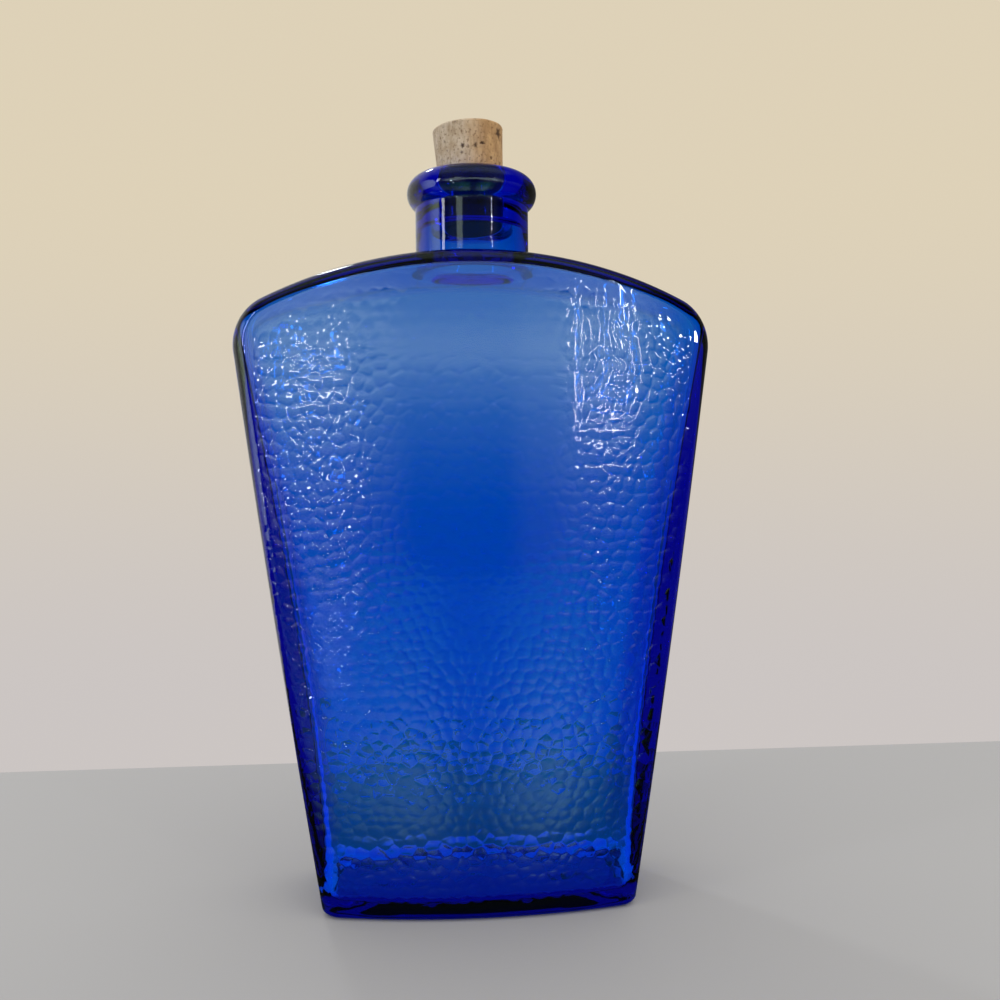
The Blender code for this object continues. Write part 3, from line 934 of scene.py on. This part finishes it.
def make_table():
    """A pale table top whose back edge lies a hand's width behind the decanter."""
    half, front, back = TABLE_HALF_WIDTH, TABLE_FRONT, TABLE_BACK
    corners = ((-half, front), (half, front), (half, back), (-half, back))
    material, tree, shader = new_material("pale_table")
    path = tree.nodes.new("ShaderNodeLightPath")
    in_gloss, through_glass = path.outputs["Is Glossy Ray"], path.outputs["Is Transmission Ray"]
    parts = tree.nodes.new("ShaderNodeSeparateXYZ")
    tree.links.new(tree.nodes.new("ShaderNodeTexCoord").outputs["Object"], parts.inputs[0])
    x, y = parts.outputs["X"], parts.outputs["Y"]
    # Painted light: seen in gloss the table glows, lit beside the decanter and with a painted shadow of
    # it in the middle
    ahead = math_node(tree, "MULTIPLY", math_node(tree, "MINIMUM", y, TABLE_AHEAD), -1.0)
    around = float_ramp(tree, math_node(tree, "DIVIDE", x, ahead), TABLE_AROUND)
    veil = math_node(tree, "MULTIPLY", float_ramp(tree, y, TABLE_AWAY), around)
    veil = math_node(tree, "MULTIPLY", veil, in_gloss)
    colour = mixed(tree, "MIX", in_gloss, TABLE_COLOUR, TABLE_IN_GLOSS)
    # Painted light: through glass the table is lighter near the decanter and darker further back
    away = float_ramp(tree, y, TABLE_THROUGH_CHANGE)
    through = mixed(tree, "MIX", away, TABLE_THROUGH_NEAR, TABLE_THROUGH_AWAY)
    colour = mixed(tree, "MIX", through_glass, colour, through)
    tree.links.new(colour, shader.inputs["Base Color"])
    under_x = float_ramp(tree, math_node(tree, "ABSOLUTE", x), UNDER_ACROSS)
    under_y = float_ramp(tree, math_node(tree, "ABSOLUTE", y), UNDER_DEEP)
    front_rim = float_ramp(tree, y, UNDER_FRONT_RIM)
    through_rim = math_node(tree, "MULTIPLY", through_glass, front_rim)
    seen_in = math_node(tree, "MAXIMUM", in_gloss, through_rim)
    under = math_node(tree, "MULTIPLY", math_node(tree, "MULTIPLY", under_x, under_y), seen_in)
    near = float_ramp(tree, y, TABLE_NEAR_CHANGE)
    tint = mixed(tree, "MIX", near, TABLE_FAR_COLOUR, TABLE_NEAR_COLOUR)
    tint = mixed(tree, "MIX", under, tint, UNDER_COLOUR)
    tree.links.new(tint, shader.inputs["Emission Color"])
    glow = math_node(tree, "MULTIPLY", under, UNDER_GLOW)
    tree.links.new(math_node(tree, "ADD", veil, glow), shader.inputs["Emission Strength"])
    shader.inputs["Roughness"].default_value = TABLE_ROUGHNESS
    shader.inputs["Specular IOR Level"].default_value = 0.0
    places = np.array([(across, deep, TABLE_LEVEL) for across, deep in corners])
    table = make_piece("table_top", places, [[0, 1, 2, 3]], material)


def background(tree, colour, strength):
    """A background shader in one colour."""
    node = tree.nodes.new("ShaderNodeBackground")
    node.inputs["Color"].default_value = (*colour, 1.0)
    node.inputs["Strength"].default_value = strength
    return node


def math_node(tree, operation, *values):
    """A math node on numbers and other nodes' outputs."""
    node = tree.nodes.new("ShaderNodeMath")
    node.operation = operation
    for socket, value in zip(node.inputs, values):
        if isinstance(value, (int, float)):
            socket.default_value = value
        else:
            tree.links.new(value, socket)
    return node.outputs[0]


def float_ramp(tree, value, stops):
    """A smooth curve through (value, result) stops."""
    low, high = stops[0][0], stops[-1][0]
    top = max(result for _, result in stops)
    share = math_node(tree, "DIVIDE", math_node(tree, "SUBTRACT", value, low), high - low)
    ramp = tree.nodes.new("ShaderNodeValToRGB")
    ramp.color_ramp.interpolation = "EASE"
    for _ in range(len(stops) - 2):
        ramp.color_ramp.elements.new(0.5)
    for element, (place, result) in zip(ramp.color_ramp.elements, stops):
        element.position = (place - low) / (high - low)
        element.color = (result / top, result / top, result / top, 1.0)
    tree.links.new(share, ramp.inputs["Fac"])
    return math_node(tree, "MULTIPLY", ramp.outputs["Color"], top)


def crossed_ramps(tree, first, first_stops, second, second_stops):
    """The product of two smooth curves, each of its own value."""
    curves = (float_ramp(tree, first, first_stops), float_ramp(tree, second, second_stops))
    return math_node(tree, "MULTIPLY", *curves)


def blend_shaders(tree, factor, first, second):
    """Two shaders mixed by a factor."""
    mix = tree.nodes.new("ShaderNodeMixShader")
    tree.links.new(factor, mix.inputs["Fac"])
    tree.links.new(first, mix.inputs[1])
    tree.links.new(second, mix.inputs[2])
    return mix.outputs[0]


def soft_reach(tree, across, level, place_across, wide, place_up, tall):
    """How far a direction lies from the middle of an oval patch of the room, 1 at its rim."""
    sideways = math_node(tree, "DIVIDE", math_node(tree, "SUBTRACT", across, place_across), wide)
    upright = math_node(tree, "DIVIDE", math_node(tree, "SUBTRACT", level, place_up), tall)
    parts = [math_node(tree, "ABSOLUTE", offset) for offset in (sideways, upright)]
    return math_node(tree, "ADD", *[math_node(tree, "POWER", part, PATCH_POWER) for part in parts])


def make_world():
    """A plain wall behind everything, greyer low down, and a room that only gloss shows."""
    world = bpy.data.worlds.new("cream_wall")
    bpy.context.scene.world = world
    world.use_nodes = True
    tree = world.node_tree
    tree.nodes.clear()
    path = tree.nodes.new("ShaderNodeLightPath")
    seen = math_node(tree, "MAXIMUM", path.outputs["Is Camera Ray"], path.outputs["Is Transmission Ray"])
    wall = background(tree, WHITE, 1.0)
    place = tree.nodes.new("ShaderNodeTexCoord")
    parts = tree.nodes.new("ShaderNodeSeparateXYZ")
    tree.links.new(place.outputs["Generated"], parts.inputs[0])
    across, level = parts.outputs["X"], parts.outputs["Z"]
    rise = float_ramp(tree, level, WALL_RISE)
    tree.links.new(mixed(tree, "MIX", rise, WALL_LOW, WALL_HIGH), wall.inputs["Color"])
    room = background(tree, WHITE, 1.0)
    tree.links.new(float_ramp(tree, level, ROOM_LIGHT), room.inputs["Strength"])
    base = crossed_ramps(tree, level, ROOM_BASE, across, BASE_ACROSS)
    sides = crossed_ramps(tree, level, SIDES_UP, across, SIDES_ACROSS)
    shine = math_node(tree, "ADD", base, sides)
    for place_across, wide, place_up, tall, strength in ROOM_PATCHES:
        reach = soft_reach(tree, across, level, place_across, wide, place_up, tall)
        patch = float_ramp(tree, reach, ((0.0, strength), (PATCH_CORE, strength), (PATCH_RIM, 0.0)))
        shine = math_node(tree, "ADD", shine, patch)
    in_front = float_ramp(tree, parts.outputs["Y"], ROOM_IN_FRONT)
    shine = math_node(tree, "MULTIPLY", shine, in_front)
    veil = background(tree, VEIL_COLOUR, 1.0)
    tree.links.new(math_node(tree, "MULTIPLY", shine, VEIL_STRENGTH), veil.inputs["Strength"])
    rear = background(tree, WHITE, 1.0)
    behind = crossed_ramps(tree, parts.outputs["Y"], REAR_BACK, across, REAR_ACROSS)
    tree.links.new(behind, rear.inputs["Strength"])
    gloss = tree.nodes.new("ShaderNodeAddShader")
    tree.links.new(veil.outputs[0], gloss.inputs[0])
    tree.links.new(rear.outputs[0], gloss.inputs[1])
    around = blend_shaders(tree, path.outputs["Is Glossy Ray"], room.outputs[0], gloss.outputs[0])
    output = tree.nodes.new("ShaderNodeOutputWorld")
    tree.links.new(blend_shaders(tree, seen, around, wall.outputs[0]), output.inputs["Surface"])


def area_light(name, azimuth, elevation, distance, width, height, power, colour):
    """A soft rectangular light that looks at the middle of the decanter."""
    data = bpy.data.lights.new(name, "AREA")
    data.shape = "RECTANGLE"
    data.size, data.size_y = width, height
    data.energy = power
    data.color = colour
    light = bpy.data.objects.new(name, data)
    azimuth, elevation = math.radians(azimuth), math.radians(elevation)
    across = math.cos(elevation) * distance
    aim = Vector((0.0, 0.0, LIGHTS_AIM))
    light.location = aim + Vector(
        (math.sin(azimuth) * across, -math.cos(azimuth) * across, math.sin(elevation) * distance)
    )
    light.rotation_euler = (aim - light.location).to_track_quat("-Z", "Y").to_euler()
    light.visible_camera = False
    bpy.context.scene.collection.objects.link(light)


def small_lamp(name, azimuth, elevation, distance, width, height, colour):
    """An area light as bright as all the small lamps are."""
    power = LAMP_RADIANCE * math.pi * width * height
    area_light(name, azimuth, elevation, distance, width, height, power, colour)


def right_window():
    """Thin lights along the panes of an upright window: its upright bars and its low one."""
    azimuth, elevation, distance, width, height = RIGHT_WINDOW
    bar = RIGHT_WINDOW_BAR
    tilt = math.degrees(0.5 * height / distance)
    bars = [("low", 0.0, -tilt, width, bar)]
    for number in range(RIGHT_WINDOW_UPRIGHTS):
        turn = math.degrees((number / (RIGHT_WINDOW_UPRIGHTS - 1) - 0.5) * width / distance)
        bars.append((f"upright_{number}", turn, 0.0, bar, height))
    for side, turn, tilt, wide, tall in bars:
        place = (azimuth + turn, elevation + tilt, distance)
        small_lamp(f"right_window_{side}", *place, wide, tall, RIGHT_WINDOW_COLOUR)


def make_lights():
    """A window far to the left, small lamps and, on the right, the lit panes of a window."""
    area_light("left_window", *LEFT_WINDOW, LEFT_WINDOW_POWER, LEFT_WINDOW_COLOUR)
    for number, lamp in enumerate(LAMPS):
        small_lamp(f"lamp_{number}", *lamp, LAMP_COLOUR)
    right_window()


def make_camera():
    """The camera of the photograph."""
    look = CAMERA_AZIMUTH + CAMERA_PAN
    ahead = Vector((-math.sin(look), math.cos(look), 0.0))
    right = Vector((math.cos(look), math.sin(look), 0.0))
    forward = ahead * math.cos(CAMERA_TILT_UP) + Vector((0, 0, math.sin(CAMERA_TILT_UP)))
    up = right.cross(forward)
    turned_right = right * math.cos(CAMERA_ROLL) + up * math.sin(CAMERA_ROLL)
    turned_up = up * math.cos(CAMERA_ROLL) - right * math.sin(CAMERA_ROLL)
    data = bpy.data.cameras.new("photo_camera")
    data.lens = LENS
    data.sensor_width = FRAME_WIDTH
    data.clip_start = 0.01
    camera = bpy.data.objects.new("photo_camera", data)
    place = Vector(
        (
            CAMERA_DISTANCE * math.sin(CAMERA_AZIMUTH),
            -CAMERA_DISTANCE * math.cos(CAMERA_AZIMUTH),
            CAMERA_HEIGHT,
        )
    )
    columns = Matrix((turned_right, turned_up, -forward)).transposed()
    camera.matrix_world = Matrix.Translation(place) @ columns.to_4x4()
    bpy.context.scene.collection.objects.link(camera)
    bpy.context.scene.camera = camera


bpy.context.scene.view_settings.view_transform = "Standard"
make_camera()
make_world()
make_lights()
make_table()
make_bottle()
make_cork()
